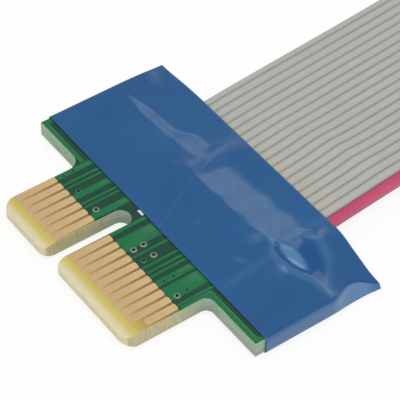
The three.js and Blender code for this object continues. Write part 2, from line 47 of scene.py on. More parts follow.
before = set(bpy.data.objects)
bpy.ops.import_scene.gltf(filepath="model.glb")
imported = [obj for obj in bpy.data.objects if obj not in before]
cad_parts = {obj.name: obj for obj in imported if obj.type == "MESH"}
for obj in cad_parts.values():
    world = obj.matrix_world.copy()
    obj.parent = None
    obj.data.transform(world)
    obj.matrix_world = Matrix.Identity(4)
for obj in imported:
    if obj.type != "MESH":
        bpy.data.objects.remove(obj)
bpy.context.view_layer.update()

MM = 0.001

# Plug board, as in the CAD source
PITCH = 1.0
LONG_BANK = 11
SHORT_BANK = 7
CONTACTS = LONG_BANK + SHORT_BANK
KEY_TO_CONTACT = 1.5
BOARD_THICKNESS = 1.6
KEY_WIDTH = 1.9
TONGUE_LENGTH = 8.65
TONGUE_LOW = -7.9
TONGUE_HIGH = 12.15
SHORT_SIDE = 14.65
LONG_SIDE = 19.0
PLUG_BOARD_DEPTH = 17.5
PLUG_CENTRE = (LONG_SIDE - SHORT_SIDE) / 2
NOSE_BEVEL = 1.2
NOSE_HEIGHT = 0.8
SOLDER_HEIGHT = 0.4
FINGER_REAR = 5.72
MASK_FRONT = 5.68
TOP_SHORT_FINGER = 10
UNDERSIDE_SHORT_FINGER = 16
FINGER_FRONT = 1.32
SHORT_FINGER_FRONT = 2.4
FINGER_THICKNESS = 0.05
COPPER_THICKNESS = 0.03
FACES = ((True, "top"), (False, "under"))

# Ribbons and tape
WIRES = 20
WIRE_PITCH = 1.0
RIBBON_HALF = WIRES * WIRE_PITCH / 2
RIBBON_THICKNESS = 0.9
RIBBON_SKEW = math.radians(5.2)
LOWER_DRIFT = -0.5
GLUE_SHARE = 0.4
PLUG_END_GAP = 0.3 + RIBBON_HALF * math.tan(RIBBON_SKEW)
TAPE_FRONT = -7.82
TAPE_REAR = 4.98
TAPE_HALF = (LONG_SIDE + SHORT_SIDE) / 2 + 0.2
TAPE_STAND_OFF = 0.2
TAPE_LENGTH = TAPE_REAR - TAPE_FRONT
TAPE_LOW, TAPE_HIGH = -TAPE_STAND_OFF, BOARD_THICKNESS + TAPE_STAND_OFF
PLUG_TAPE_ROWS = 84
SOCKET_TAPE_ROWS = 26
SIDE_COLUMNS = 12

# The plug's tape stands highest over the solder row and runs down steeply behind it
CREST_PLACE = -1.7
CREST_HEIGHT = 0.84
STEEP = math.tan(math.radians(9.0))

# Folds round the bubble in the plug's tape, and the tape's cut end, in the plug's frame
BUBBLE_CREASE = ((11.3, 16.75), (12.0, 16.25), (12.8, 16.1), (14.0, 16.55), (15.4, 17.35))
LOWER_FOLD = ((10.9, 16.7), (12.0, 15.8), (13.0, 15.55), (14.6, 16.25), (16.0, 16.95),
              (18.6, 17.35))
UPPER_FOLD = ((11.6, 19.6), (13.4, 20.05), (15.0, 19.8), (16.4, 18.9), (17.3, 18.0),
              (18.6, 17.45))
SEAM = ((-2.6, 22.44), (-1.5, 20.4), (-0.8, 18.4), (0.3, 15.9), (1.0, 14.2), (2.2, 11.5),
        (3.05, 9.72))

# Where else the plug's tape is painted paler, partly for film that isn't pressed down and partly as
# painted highlights, the bubble first: how pale the film is painted, then a hill's centre, half
# lengths along and across, turn in degrees and sharpness
LOOSE_AND_PAINTED_HIGHLIGHT_SPOTS = (
    (0.72, (13.35, 17.05), 2.0, 0.68, 8, 5.0), (0.3, (9.75, 15.7), 0.6, 0.8, -15, 2.6),
    (0.13, (12.2, 12.8), 0.5, 2.9, 0, 4.0), (0.13, (11.0, 21.6), 0.55, 1.2, 0, 4.0),
    (0.22, (10.8, 13.1), 0.6, 0.3, 20), (0.16, (-2.2, 15.5), 0.35, 0.25),
    (0.16, (4.8, 12.9), 0.22, 0.22),
)

# The studio: where the dark flag hangs, high up behind the part on its left, and each
# light's place, target, width and height in metres
FLAG_DIRECTION = (-0.429, 0.312, 0.848)
KEY_LIGHT = ((0.26, -0.2, 0.6), (0, -0.06, 0), 0.5, 0.5)
BACK_LIGHT = ((-0.481, 0.442, 0.457), (0.008, -0.082, 0), 0.27, 0.16)
FLOOR_HALF = 3.0
FLOOR_GLOW = 0.86

# Distance along the ribbons, then the height of each one's middle line
RIBBON_ROUTE = (
    (0, 0.1, 1.5), (2, 0.2, 1.4), (4, 0.3, 1.3), (7, 0.29, 1.29), (12, 0.21, 1.21),
    (17, 0.09, 1.09), (23, -0.04, 0.96), (30, -0.11, 0.89), (45, -0.12, 0.88),
    (65, -0.12, 0.88), (80, -0.12, 0.88), (95, -0.12, 0.88), (115, -0.12, 0.88),
    (130, -0.11, 0.89), (137, -0.04, 0.96), (143, 0.09, 1.09), (148, 0.21, 1.21),
    (152, 0.28, 1.28), (155, 0.3, 1.3), (157.5, 0.2, 1.4), (160, 0.1, 1.5),
)
SOCKET_START = 160.3
SLOT_LINE = 12.3
SLOT_MIDDLE = 2.125

# The two ends' frames, as turns and moves of millimetre points into the row frame
PLUG_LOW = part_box("plug_board")[0]
DATUM = PLUG_LOW + Vector((SHORT_SIDE, 0, SOLDER_HEIGHT)) * MM
PLUG_FRAME = Matrix.Translation(DATUM) @ Matrix.Scale(MM, 4)


def ribbon_point(along, height):
    """A point on the ribbons' middle line, in the plug's frame."""
    reach = PLUG_END_GAP + along
    return Vector((
        PLUG_CENTRE - math.sin(RIBBON_SKEW) * reach,
        PLUG_BOARD_DEPTH + math.cos(RIBBON_SKEW) * reach,
        height,
    ))


SOCKET_FRAME = (
    PLUG_FRAME
    @ Matrix.Translation(ribbon_point(SOCKET_START, 0))
    @ Matrix.Rotation(RIBBON_SKEW, 4, "Z")
)


def linear(hex_colour):
    """An sRGB hex value as linear red, green and blue."""
    parts = [int(hex_colour[i:i + 2], 16) / 255 for i in (0, 2, 4)]
    return tuple(c / 12.92 if c <= 0.04045 else ((c + 0.055) / 1.055) ** 2.4 for c in parts)


def rgba(colour):
    return (*colour[:3], 1.0)


def paint(hex_colour):
    """An sRGB hex value as a shader colour."""
    return rgba(linear(hex_colour))


def shades(colour, darker, paler):
    """Two shades of a colour, for a pattern to run between."""
    return [rgba([min(1, c * share) for c in colour]) for share in (darker, paler)]


def colour_setting(name, description, hex_colour):
    return bpy.props.FloatVectorProperty(
        name=name, description=description, subtype="COLOR", size=3, min=0, max=1,
        default=linear(hex_colour))


def number_setting(name, description, default, low, high, **more):
    return bpy.props.FloatProperty(
        name=name, description=description, default=default, min=low, max=high, **more)


class RiserBoardSettings(bpy.types.PropertyGroup):
    mask_on_copper: colour_setting(
        "Mask on copper", "Green solder mask where copper lies under it", "1d7045")
    mask_on_laminate: colour_setting(
        "Mask on laminate", "Green solder mask over bare laminate", "1e4838")
    laminate: colour_setting("Laminate", "Bare glass-epoxy at the mating edge", "cbb963")
    routed_edge: colour_setting("Routed edge", "Glass-epoxy edge cut by the router", "8fa894")
    gold: colour_setting("Gold", "Plating of the edge contacts", "ebcf98")
    finger_width: number_setting(
        "Contact width", "Width of one edge contact, in millimetres", 0.72, 0.4, 0.95)


class RiserTapeSettings(bpy.types.PropertyGroup):
    colour: colour_setting("Tape", "Blue polyester tape", "27598b")
    roughness: number_setting(
        "Roughness", "Roughness of the tape's face", 0.19, 0, 1, subtype="FACTOR")
    thickness: number_setting(
        "Thickness", "Thickness of the tape", 0.1 * MM, 0.02 * MM, 0.3 * MM, unit="LENGTH",
        precision=5)


class RiserRibbonSettings(bpy.types.PropertyGroup):
    grey: colour_setting("Grey jacket", "Insulation of the plain wires", "b1b2ab")
    red: colour_setting("Red jacket", "Insulation of the marked wire", "bd4668")
    groove: number_setting(
        "Groove", "Web thickness between wires, in millimetres", 0.42, 0.1, 0.8)


class RiserSlotSettings(bpy.types.PropertyGroup):
    housing: colour_setting("Housing", "Moulded slot housing", "1c1c1e")
    contact: colour_setting("Contact", "Plating of the spring contacts", "e6c891")


class RiserStageSettings(bpy.types.PropertyGroup):
    floor: colour_setting("Floor", "Plain pale floor", "f8f8f8")
    ambient: number_setting("Ambient", "Strength of the even light from all round", 0.55, 0, 2)
    flag: number_setting(
        "Flag", "Brightness of the dark flag that level glossy faces reflect", 0.2, 0, 2)
    key_power: number_setting(
        "Key light", "Power of the large light overhead", 2.6, 0, 100, unit="POWER")
    rim_power: number_setting(
        "Back light", "Power of the light behind the cable", 0.17, 0, 100, unit="POWER")
    camera_place: bpy.props.FloatVectorProperty(
        name="Camera place", description="Where the camera stands", size=3,
        default=(0.117854, -0.163816, 0.142220), unit="LENGTH", subtype="XYZ", precision=5)
    camera_turn: bpy.props.FloatVectorProperty(
        name="Camera turn", description="Rotation of the camera", size=3,
        default=[math.radians(a) for a in (44.1305, -0.2476, 54.1655)],
        unit="ROTATION", subtype="EULER")
    lens: number_setting(
        "Lens", "Focal length on a 36 mm sensor, in millimetres", 193.655, 1, 500)


def add_node(tree, kind, inputs=None, **settings):
    """Adds a shader node with its settings, and its inputs as values or as links."""
    made = tree.nodes.new("ShaderNode" + kind)
    for name, value in settings.items():
        setattr(made, name, value)
    for socket, value in (inputs or {}).items():
        if isinstance(value, bpy.types.NodeSocket):
            tree.links.new(value, made.inputs[socket])
        else:
            made.inputs[socket].default_value = value
    return made


def new_material(name, **sockets):
    """A material with a bare Principled shader, whose sockets are set as given."""
    material = bpy.data.materials.new(name)
    material.use_nodes = True
    shader = material.node_tree.nodes["Principled BSDF"]
    for socket, value in sockets.items():
        shader.inputs[socket.replace("_", " ")].default_value = value
    return material, material.node_tree, shader


def millimetres(tree, origin, turn=0.0):
    """Object coordinates in millimetres from an origin in the row frame, turned about Z."""
    place = add_node(tree, "TexCoord").outputs["Object"]
    moved = add_node(tree, "Mapping", {0: place, "Location": [-c for c in origin]})
    return add_node(tree, "Mapping", {
        0: moved.outputs[0], "Rotation": (0, 0, -turn), "Scale": (1 / MM,) * 3}).outputs[0]


def speckle(tree, place, per_mm, detail=2.0, stretch=None):
    """Noise with so many spots to a millimetre, drawn out along the axes of low stretch."""
    if stretch:
        place = add_node(tree, "Mapping", {0: place, "Scale": stretch}).outputs[0]
    return add_node(tree, "TexNoise", {
        "Vector": place, "Scale": per_mm, "Detail": detail}).outputs["Fac"]


def step_between(tree, value, low, high):
    """0 below low, 1 above high."""
    return add_node(tree, "MapRange", {
        "Value": value, "From Min": low, "From Max": high}, clamp=True).outputs[0]


def blend_colours(tree, share, first, second):
    made = add_node(tree, "Mix", {0: share, 6: first, 7: second}, data_type="RGBA")
    return made.outputs[2]


def bump(tree, shader, height, depth_mm, strength):
    made = add_node(tree, "Bump", {
        "Height": height, "Distance": depth_mm * MM, "Strength": strength})
    tree.links.new(made.outputs[0], shader.inputs["Normal"])


def finish_piece(bm, name, where, *materials, slot, smooth_angle=40, replaces=()):
    """Places a millimetre mesh in the row frame as a piece that rides on the part."""
    bmesh.ops.recalc_face_normals(bm, faces=bm.faces)
    bm.transform(where)
    mesh = bpy.data.meshes.new(name)
    bm.to_mesh(mesh)
    bm.free()
    for material in materials:
        mesh.materials.append(material)
    piece = bpy.data.objects.new(name, mesh)
    bpy.context.scene.collection.objects.link(piece)
    mesh.shade_smooth()
    mesh.set_sharp_from_angle(angle=math.radians(smooth_angle))
    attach(piece, "root")
    if replaces:
        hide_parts(*replaces)
    return piece


def add_prism(bm, corners, low, high, segments=8, chamfer=0.0):
    """A plate with the outline of (x, y, radius) corners, its upright edges rounded."""
    old = set(bm.faces)
    flat = bm.faces.new([bm.verts.new((x, y, low)) for x, y, _ in corners])
    raised = bmesh.ops.extrude_face_region(bm, geom=[flat])["geom"]
    bmesh.ops.translate(
        bm, vec=(0, 0, high - low), verts=[v for v in raised if isinstance(v, bmesh.types.BMVert)])
    for x, y, radius in corners:
        if radius <= 0:
            continue
        upright = [
            e for e in bm.edges
            if all(abs(v.co.x - x) < 1e-5 and abs(v.co.y - y) < 1e-5 for v in e.verts)
            and abs(e.verts[0].co.z - e.verts[1].co.z) > 1e-6]
        bmesh.ops.bevel(
            bm, geom=upright, offset=radius, segments=segments, profile=0.5,
            affect="EDGES", material=-1)
    if chamfer:
        rim = {
            e for f in bm.faces if f not in old for e in f.edges
            if len(e.link_faces) == 2 and e.calc_face_angle(0) > math.radians(60)
            and abs(e.verts[0].co.z - high) < 1e-5 and abs(e.verts[1].co.z - high) < 1e-5}
        bmesh.ops.bevel(
            bm, geom=list(rim), offset=chamfer, segments=2, profile=0.5,
            affect="EDGES", material=-1)


def add_disc(bm, x, y, low, high, radius, top_radius=None, segments=20, material=0):
    old = set(bm.faces)
    bmesh.ops.create_cone(
        bm, cap_ends=True, segments=segments, radius1=radius,
        radius2=radius if top_radius is None else top_radius, depth=high - low,
        matrix=Matrix.Translation((x, y, (low + high) / 2)))
    for f in bm.faces:
        if f not in old:
            f.material_index = material


def grid_places(bm, columns, rows):
    """Makes a grid of faces, and gives its vertices with their column and row."""
    made = bmesh.ops.create_grid(bm, x_segments=columns, y_segments=rows, size=0.5)["verts"]
    return [
        (v, round((v.co.x + 0.5) * columns), round((v.co.y + 0.5) * rows)) for v in made]


def rectangle(x0, x1, y0, y1, radii=(0, 0, 0, 0)):
    """Corners for add_prism, anticlockwise from the front left one."""
    return [(x0, y0, radii[0]), (x1, y0, radii[1]), (x1, y1, radii[2]), (x0, y1, radii[3])]


def onto_face(bm, on_top):
    """Lifts what was drawn on z = 0 to the board's top face, or turns it under the board."""
    if on_top:
        bmesh.ops.translate(bm, verts=bm.verts, vec=(0, 0, BOARD_THICKNESS))
    else:
        bmesh.ops.scale(bm, verts=bm.verts, vec=(1, 1, -1))


def contact_position(i):
    """Where a contact stands across the plug, the long bank first."""
    if i < LONG_BANK:
        return KEY_TO_CONTACT + i * PITCH
    return -(KEY_TO_CONTACT + (i - LONG_BANK) * PITCH)


def clamp(value):
    return min(1.0, max(0.0, value))


def smoothstep(low, high, value):
    t = clamp((value - low) / (high - low))
    return t * t * (3 - 2 * t)


def hill(x, y, centre, along, across, turn=0.0, sharp=2.0):
    """A smooth mound of height 1, longer along its own x, turned by an angle in degrees."""
    a = math.radians(turn)
    dx, dy = x - centre[0], y - centre[1]
    u = (dx * math.cos(a) + dy * math.sin(a)) / along
    v = (-dx * math.sin(a) + dy * math.cos(a)) / across
    return math.exp(-((u * u + v * v) ** (sharp / 2)))


def grey_jacket(settings):
    """Extruded flexible PVC: satin grey skin, dust and painted shade in the grooves between wires,
    and a warm tint of tape glue close to the tapes."""
    material, tree, shader = new_material(
        "Grey extruded PVC jacket", Roughness=0.5, IOR=1.53)
    place = millimetres(tree, DATUM)
    groove = add_node(tree, "Attribute", attribute_name="groove").outputs["Fac"]
    glue = add_node(tree, "Attribute", attribute_name="glue").outputs["Fac"]
    patches = speckle(tree, place, 0.45, 3.0)
    base = blend_colours(tree, patches, *shades(settings.grey, 0.94, 1.06))
    # Dust and painted shade: a darker grey the deeper a point lies in a groove
    dust_and_painted_shade = blend_colours(tree, groove, base, paint("92928b"))
    spots = step_between(tree, speckle(tree, place, 0.8, 1.0), 0.42, 0.66)
    tint = add_node(tree, "Math", {0: glue, 1: spots}, operation="MULTIPLY").outputs[0]
    warm = blend_colours(tree, tint, dust_and_painted_shade, paint("c6a98d"))
    tree.links.new(warm, shader.inputs["Base Color"])
    bump(tree, shader, speckle(tree, place, 9.0, 3.0), 0.02, 0.4)
    return material


def red_jacket(settings):
    """The same PVC with a printed red stripe: a thin ink film, a little glossier."""
    material, tree, shader = new_material("Red printed PVC jacket", Roughness=0.42, IOR=1.53)
    place = millimetres(tree, DATUM)
    base = blend_colours(
        tree, speckle(tree, place, 0.7, 3.0), *shades(settings.red, 0.85, 1.12))
    groove = add_node(tree, "Attribute", attribute_name="groove").outputs["Fac"]
    # Dust and painted shade: a darker red the deeper a point lies in a groove
    tree.links.new(
        blend_colours(tree, groove, base, paint("8f3a56")), shader.inputs["Base Color"])
    return material


def board_face(settings, name, origin, turn, bare_tongue):
    """Solder mask over laminate: a dark, even, glossy green. In front of the mask the bare
    laminate shows, yellow in front of the contacts and brown between them, partly its own tone and
    partly painted shade of the narrow gaps."""
    material, tree, shader = new_material(name, Roughness=0.3, IOR=1.5)
    place = millimetres(tree, origin, turn)
    colour = mask = blend_colours(
        tree, speckle(tree, place, 1.6, 3.0), *shades(settings.mask_on_laminate, 0.88, 1.15))
    if bare_tongue:
        along = add_node(tree, "SeparateXYZ", {0: place}).outputs["Y"]
        cloudy = speckle(tree, place, 2.5, 2.0)
        wavy = add_node(
            tree, "Math", {0: cloudy, 1: 0.5, 2: along}, operation="MULTIPLY_ADD").outputs[0]
        yellow = blend_colours(tree, cloudy, *shades(settings.laminate, 0.86, 1.12))
        # Distances behind the mating edge, where the bare laminate turns from yellow to brown
        # between the contacts, partly its own tone and partly painted shade of the narrow gaps
        bare = blend_colours(
            tree, step_between(tree, wavy, 1.35, 2.6), yellow, paint("b0964f"))
        gap_brown_and_painted_shade = blend_colours(
            tree, step_between(tree, along, 2.6, 5.4), bare, paint("8a6c40"))
        colour = blend_colours(
            tree, step_between(tree, along, MASK_FRONT - 0.02, MASK_FRONT + 0.02), gap_brown_and_painted_shade, mask)
    tree.links.new(colour, shader.inputs["Base Color"])
    bump(tree, shader, speckle(tree, place, 3.0, 3.0), 0.012, 0.35)
    return material


def mask_over_copper(settings, origin, turn):
    """Solder mask over copper: the metal under the film makes the green brighter."""
    material, tree, shader = new_material(
        "Green mask over copper", Roughness=0.28, IOR=1.5)
    place = millimetres(tree, origin, turn)
    colour = blend_colours(
        tree, speckle(tree, place, 0.8, 3.0), *shades(settings.mask_on_copper, 0.9, 1.12))
    tree.links.new(colour, shader.inputs["Base Color"])
    bump(tree, shader, speckle(tree, place, 2.5, 2.0), 0.012, 0.3)
    return material


def routed_laminate(settings):
    """Glass-epoxy cut by a router bit: translucent, grey-green, with glass layers seen as
    fine level lines and the bit's upright marks."""
    material, tree, shader = new_material("Routed glass-epoxy edge", Roughness=0.55, IOR=1.52)
    place = millimetres(tree, DATUM)
    parts = add_node(tree, "SeparateXYZ", {0: place})
    # Plies about 0.15 mm thick, as real ones, and tool marks drawn coarser than real to show
    layers = speckle(tree, place, 1.3, 4.0, (0.35, 0.35, 5.0))
    marks = speckle(tree, place, 1.2, 3.0, (4.5, 4.5, 0.4))
    # Darker towards the board's underside
    low = step_between(tree, parts.outputs["Z"], 1.5, 0.1)
    underside_share = add_node(tree, "Math", {0: low, 1: 0.4}, operation="MULTIPLY").outputs[0]
    base = blend_colours(tree, underside_share, rgba(settings.routed_edge), paint("76806b"))
    paler = blend_colours(
        tree, step_between(tree, layers, 0.45, 0.7), base, paint("b4c0a8"))
    grey = blend_colours(tree, step_between(tree, marks, 0.5, 0.75), paler, base)
    beige = blend_colours(
        tree, step_between(tree, marks, 0.4, 0.65), paint("c6ba8c"),
        paint("b3a67c"))
    warm = step_between(tree, parts.outputs["Y"], 8.2, 4.6)
    share = add_node(tree, "Math", {0: warm, 1: 0.85}, operation="MULTIPLY").outputs[0]
    tree.links.new(blend_colours(tree, share, grey, beige), shader.inputs["Base Color"])
    both = add_node(tree, "Math", {0: layers, 1: marks}, operation="ADD").outputs[0]
    bump(tree, shader, both, 0.05, 0.5)
    return material


def ground_nose():
    """The ground bevel: laminate scratched to a pale, dry, almost white surface."""
    material, tree, shader = new_material("Ground glass-epoxy nose", Roughness=0.65, IOR=1.52)
    place = millimetres(tree, DATUM)
    along = add_node(tree, "SeparateXYZ", {0: place}).outputs["Y"]
    # The grinder's scratches are finer than this, and drawn coarser to show
    scratches = speckle(tree, place, 2.0, 3.0, (0.7, 1.0, 1.6))
    back = step_between(tree, along, 0.4, 0.95)
    base = blend_colours(tree, back, paint("d6cca2"), paint("c9b761"))
    front = step_between(tree, along, 0.75, 0.1)
    share = add_node(tree, "Math", {
        0: step_between(tree, scratches, 0.35, 1.0), 1: front}, operation="MULTIPLY").outputs[0]
    colour = blend_colours(tree, share, base, paint("e4ddc4"))
    tree.links.new(colour, shader.inputs["Base Color"])
    bump(tree, shader, scratches, 0.03, 0.35)
    return material


def gold_plating(name, colour, origin, turn, roughness=0.45, metallic=1.0):
    """Hard gold over nickel: a matt metal with faint patches from handling, and a duller,
    pinker end where it mates."""
    material, tree, shader = new_material(name, Metallic=metallic)
    place = millimetres(tree, origin, turn)
    patches = speckle(tree, place, 1.1, 3.0)
    along = add_node(tree, "SeparateXYZ", {0: place}).outputs["Y"]
    cloudy = blend_colours(
        tree, step_between(tree, patches, 0.4, 0.65), rgba(colour),
        rgba([c * f for c, f in zip(colour, (0.97, 0.92, 0.9))]))
    rubbed_end = rgba([c * f for c, f in zip(colour, (0.91, 0.84, 0.98))])
    tree.links.new(
        blend_colours(tree, step_between(tree, along, 5.2, 1.8), cloudy, rubbed_end),
        shader.inputs["Base Color"])
    rubbed = speckle(tree, place, 2.0, 3.0, (4.0, 0.4, 1.0))
    rough = add_node(tree, "MapRange", {
        "Value": rubbed, "To Min": roughness - 0.07, "To Max": roughness + 0.1}).outputs[0]
    tree.links.new(rough, shader.inputs["Roughness"])
    bump(tree, shader, rubbed, 0.008, 0.3)
    return material


def solder(origin, turn):
    """Tin solder: bright, rounded and slightly grainy."""
    material, tree, shader = new_material(
        "Tin solder", Metallic=1.0, Base_Color=paint("c3c4c2"))
    place = millimetres(tree, origin, turn)
    grain = speckle(tree, place, 6.0, 3.0)
    tree.links.new(add_node(tree, "MapRange", {
        "Value": grain, "To Min": 0.22, "To Max": 0.45}).outputs[0], shader.inputs["Roughness"])
    bump(tree, shader, grain, 0.02, 0.4)
    return material


def plain_ink(name, hex_colour, roughness):
    """Flat printed or shadowed spot, with slight unevenness."""
    material, tree, shader = new_material(name, Roughness=roughness)
    place = millimetres(tree, DATUM)
    tree.links.new(blend_colours(
        tree, speckle(tree, place, 3.0, 2.0), *shades(linear(hex_colour), 0.9, 1.05)),
        shader.inputs["Base Color"])
    return material


def blue_tape(settings, origin, turn):
    """Polyester film tape: even blue with a hard glossy face, faint glue clouds under the
    film and light scuffs; the fine drawn lines along the roll are left out."""
    material, tree, shader = new_material("Blue polyester film tape", IOR=1.5)
    place = millimetres(tree, origin, turn)
    clouds = speckle(tree, place, 0.16, 4.0)
    base = blend_colours(
        tree, step_between(tree, clouds, 0.3, 0.7), *shades(settings.colour, 0.93, 1.07))
    # Above 0 the attribute paints the film paler, partly for haze of loose film and partly as
    # painted highlights and reflections; below 0 it paints shade
    haze_light_and_shade = add_node(tree, "Attribute", attribute_name="haze_and_painted_light").outputs["Fac"]
    paler = blend_colours(tree, haze_light_and_shade, base, paint("6089b0"))
    painted_shade_share = add_node(tree, "Math", {0: haze_light_and_shade, 1: -1.0}, operation="MULTIPLY").outputs[0]
    # Painted shade: a darker blue in the crease, the hollow behind the bubble and the fold
    tree.links.new(
        blend_colours(tree, painted_shade_share, paler, paint("1a4f85")), shader.inputs["Base Color"])
    fine = speckle(tree, place, 2.2, 3.0)
    tree.links.new(add_node(tree, "MapRange", {
        "Value": fine, "From Min": 0.3, "From Max": 0.7,
        "To Min": settings.roughness - 0.04, "To Max": settings.roughness + 0.06}).outputs[0],
        shader.inputs["Roughness"])
    bump(tree, shader, speckle(tree, place, 0.9, 3.0), 0.03, 0.25)
    return material


def moulded_black(settings):
    """Glass-filled moulding: near-black, satin, with fine spark-eroded texture and faint
    paler fibre flow."""
    material, tree, shader = new_material("Black moulded PBT", IOR=1.55)
    place = millimetres(tree, DATUM)
    flow = speckle(tree, place, 0.6, 4.0)
    tree.links.new(
        blend_colours(tree, flow, *shades(settings.housing, 0.8, 1.5)),
        shader.inputs["Base Color"])
    # Sparks leave pits of a few hundredths of a millimetre, drawn coarser here to show
    texture = speckle(tree, place, 11.0, 2.0)
    tree.links.new(add_node(tree, "MapRange", {
        "Value": texture, "To Min": 0.38, "To Max": 0.6}).outputs[0], shader.inputs["Roughness"])
    bump(tree, shader, texture, 0.02, 0.5)
    return material


class BuildStep:
    """What the operators share: each builds its pieces from the scene's settings."""

    def execute(self, context):
        self.build(context.scene)
        return {"FINISHED"}


class RISER_OT_camera(BuildStep, bpy.types.Operator):
    """Sets the camera up at the photograph's angle"""

    bl_idname = "riser.camera"
    bl_label = "Camera"

    def build(self, scene):
        settings = scene.riser_stage
        data = bpy.data.cameras.new("camera")
        data.lens = settings.lens
        data.sensor_width = 36
        data.clip_start = 0.01
        data.clip_end = 20
        camera = bpy.data.objects.new("camera", data)
        camera.location = settings.camera_place
        camera.rotation_euler = settings.camera_turn
        scene.collection.objects.link(camera)
        scene.camera = camera


def ribbon_line(level):
    """Close points along a ribbon's middle line, smoothed through its route's stops."""
    stops = [ribbon_point(stop[0], stop[level]) for stop in RIBBON_ROUTE]
    points = []
    for i in range(len(stops) - 1):
        a = stops[max(0, i - 1)]
        b, c = stops[i], stops[i + 1]
        d = stops[min(len(stops) - 1, i + 2)]
        count = max(2, round((c - b).length / 1.6))
        span = c - b
        enter = (c - a) * (span.length / (c - a).length)
        leave = (d - b) * (span.length / (d - b).length)
        for k in range(count):
            t = k / count
            points.append(
                b * (2 * t ** 3 - 3 * t ** 2 + 1) + enter * (t ** 3 - 2 * t ** 2 + t)
                + c * (-2 * t ** 3 + 3 * t ** 2) + leave * (t ** 3 - t ** 2))
    points.append(stops[-1])
    return points


def ribbon_stations(line):
    """For each point of a ribbon's line: itself, across, up and its distance along."""
    stations = []
    along = 0.0
    for i, point in enumerate(line):
        along += (point - line[max(i - 1, 0)]).length
        ahead = line[min(i + 1, len(line) - 1)] - line[max(i - 1, 0)]
        across = Vector((ahead.y, -ahead.x, 0)).normalized()
        stations.append((point, across, across.cross(ahead).normalized(), along))
    return stations


def ribbon_section(groove):
    """Outline points across a ribbon as (across, height), one round lobe to a wire."""
    half = RIBBON_THICKNESS / 2
    web = groove / 2
    steps = (-0.5, -0.47, -0.42, -0.34, -0.22, -0.08, 0.08, 0.22, 0.34, 0.42, 0.47)
    upper = []
    for wire in range(WIRES):
        middle = (wire - (WIRES - 1) / 2) * WIRE_PITCH
        for s in steps:
            rise = (1 - abs(2 * s) ** 2.1) ** 0.5
            height = web + (half - web) * rise
            if wire == 0 and s < 0:
                height = half * (1 - abs(2 * s) ** 2.2) ** 0.5
            across = s * WIRE_PITCH * (0.62 if wire == 0 and s < 0 else 1.0)
            upper.append((middle + across, height, 1 - rise))
    upper.append((RIBBON_HALF, 0.0, 0.0))
    last = len(upper) - 1
    fixed = []
    for k, (x, z, depth) in enumerate(upper):
        edge = RIBBON_HALF - abs(x) - (0.19 if x < 0 else 0.0)
        if edge < 0.5:
            z = half * max(0.0, 1 - (1 - edge / 0.5) ** 2.2) ** 0.5
            depth = 0.0
        fixed.append((x, 0.0 if k in (0, last) else z, depth))
    lower = [(x, -z, depth) for x, z, depth in fixed[1:-1]]
    return fixed + lower[::-1]


class RISER_OT_ribbons(BuildStep, bpy.types.Operator):
    bl_idname = "riser.ribbons"
    bl_label = "Flat cables"

    def build(self, scene):
        settings = scene.riser_ribbon
        grey, red = grey_jacket(settings), red_jacket(settings)
        section = ribbon_section(settings.groove)
        length = RIBBON_ROUTE[-1][0]
        for level, name in ((2, "upper"), (1, "lower")):
            line = ribbon_line(level)
            bm = bmesh.new()
            groove_dust_and_shade_layer = bm.verts.layers.float.new("groove")
            glue_layer = bm.verts.layers.float.new("glue")
            shift = 0.0 if level == 2 else LOWER_DRIFT
            stations = ribbon_stations(line)
            for v, column, row in grid_places(bm, len(section), len(line) - 1):
                x, z, depth = section[column % len(section)]
                point, across, up, along = stations[row]
                near_end = min(along, length - along)
                ripple = ribbon_ripple(x, along) if level == 2 else 0.0
                v.co = point + across * (x + shift * smoothstep(1, 3.6, near_end)) + up * (
                    z + ripple)
                # How deep in a groove each point lies, for the dust and painted shade of the
                # grooves
                v[groove_dust_and_shade_layer] = depth
                v[glue_layer] = GLUE_SHARE * (1 - smoothstep(3.6, 5.6, near_end))
            bmesh.ops.remove_doubles(bm, verts=bm.verts, dist=1e-5)
            bmesh.ops.holes_fill(bm, edges=[e for e in bm.edges if e.is_boundary])
            start, side = stations[0][:2]
            for face in bm.faces:
                sideways = (face.calc_center_median() - start).dot(side)
                face.material_index = int(len(face.verts) == 4 and sideways > RIBBON_HALF - 1)
            piece = finish_piece(
                bm, "ribbon_cable_" + name, PLUG_FRAME, grey, red, slot="ribbon",
                smooth_angle=60, replaces=["ribbon_" + name])


def ribbon_ripple(x, along):
    """How far the upper cable stands off its middle line where it has relaxed unevenly."""
    shape = hill(x, along, (3.2, 10.0), 4.8, 1.6, 14) * 0.28
    return shape * smoothstep(5.0, 8.0, along)


def tongue_outline():
    half = KEY_WIDTH / 2
    return [
        (TONGUE_LOW, 0, 1.2), (-half, 0, 0.8), (-half, TONGUE_LENGTH, half * 0.998),
        (half, TONGUE_LENGTH, half * 0.998), (half, 0, 0.8), (TONGUE_HIGH, 0, 1.2),
        (TONGUE_HIGH, TONGUE_LENGTH, 0.8), (LONG_SIDE, TONGUE_LENGTH, 0),
        (LONG_SIDE, PLUG_BOARD_DEPTH, 0), (-SHORT_SIDE, PLUG_BOARD_DEPTH, 0),
        (-SHORT_SIDE, TONGUE_LENGTH, 0), (TONGUE_LOW, TONGUE_LENGTH, 1.3),
    ]


